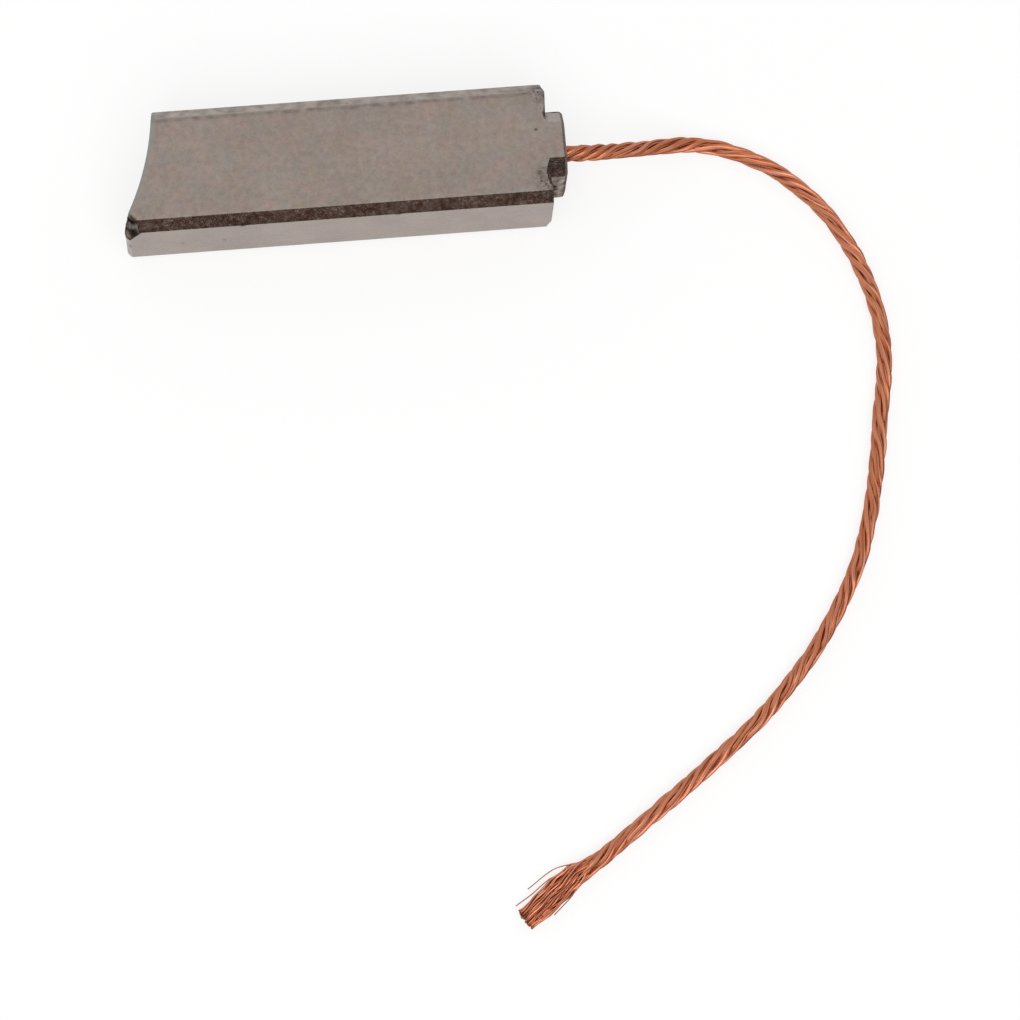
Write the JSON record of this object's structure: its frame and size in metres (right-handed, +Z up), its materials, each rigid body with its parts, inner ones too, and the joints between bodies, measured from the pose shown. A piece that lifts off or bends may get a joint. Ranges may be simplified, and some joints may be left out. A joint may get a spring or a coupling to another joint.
{
  "type": "carbon brush",
  "caption": "Pressed metal-graphite brush with chamfered long edges, a ground hollow contact face, a rear stub and a twisted copper lead with a frayed end.",
  "frame": {"origin": "middle of the block's lower wide face, at the centre of the brush's own box without the lead", "axes": "+X along the brush from its contact face to its rear stub, +Y across its width away from its longer side, +Z up through its thickness"},
  "size_m": [0.0487, 0.0539, 0.0063],
  "materials": {
    "metal_graphite": "sintered copper and graphite, matt grey brown with worn edges",
    "copper_strand": "bare twisted copper wires, semi bright"
  },
  "bodies": {
    "root": {"brush_block": "metal_graphite", "lead": "copper_strand"}
  },
  "joints": []
}
